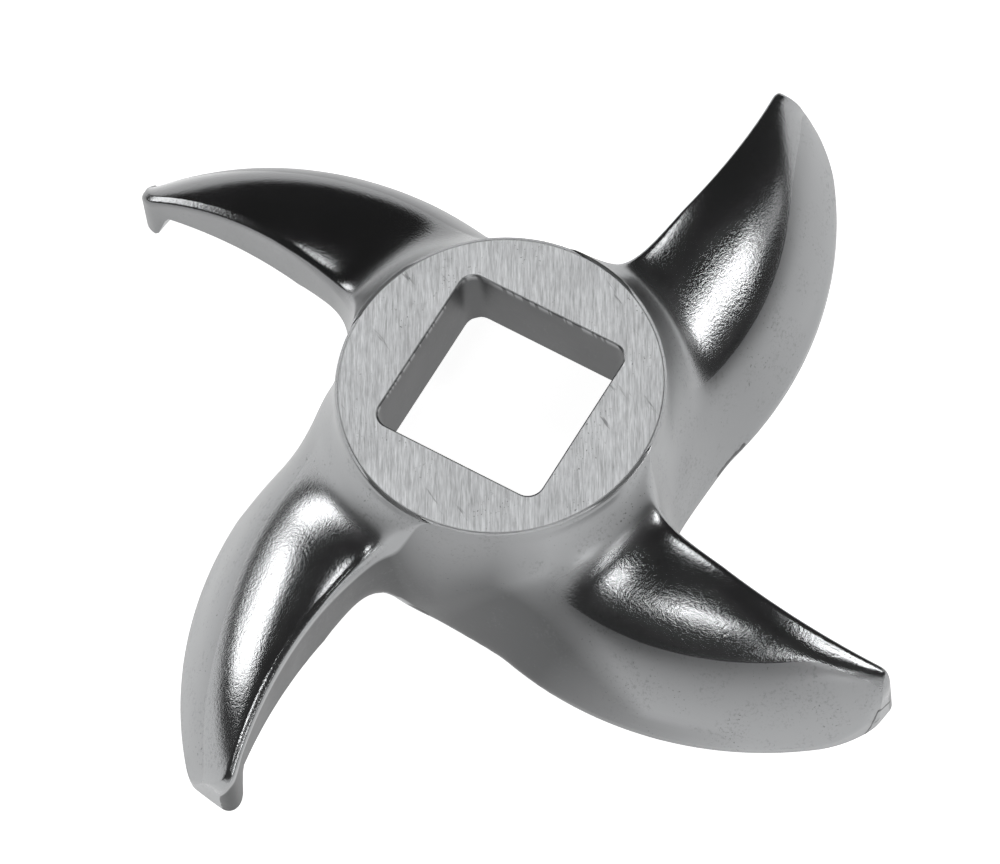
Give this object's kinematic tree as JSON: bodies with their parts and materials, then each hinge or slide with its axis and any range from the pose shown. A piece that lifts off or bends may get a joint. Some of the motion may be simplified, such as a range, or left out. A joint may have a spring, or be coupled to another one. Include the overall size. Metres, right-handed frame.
{
  "type": "meat grinder knife",
  "caption": "Cast steel knife for a meat grinder: curved hollow-backed blades round a flat hub with a square drive hole.",
  "frame": {"origin": "axis of the square drive hole, in the plane of the cutting edges on the plate side", "axes": "+Z along the drive hole, from the plate side towards the flat face that the auger bears on; X and Y along the flat sides of the drive hole"},
  "size_m": [0.0952, 0.0952, 0.0174],
  "materials": {
    "steel": "ground flanks and face, glossy as-cast scoops"
  },
  "bodies": {
    "root": {"knife": "steel"}
  },
  "joints": []
}
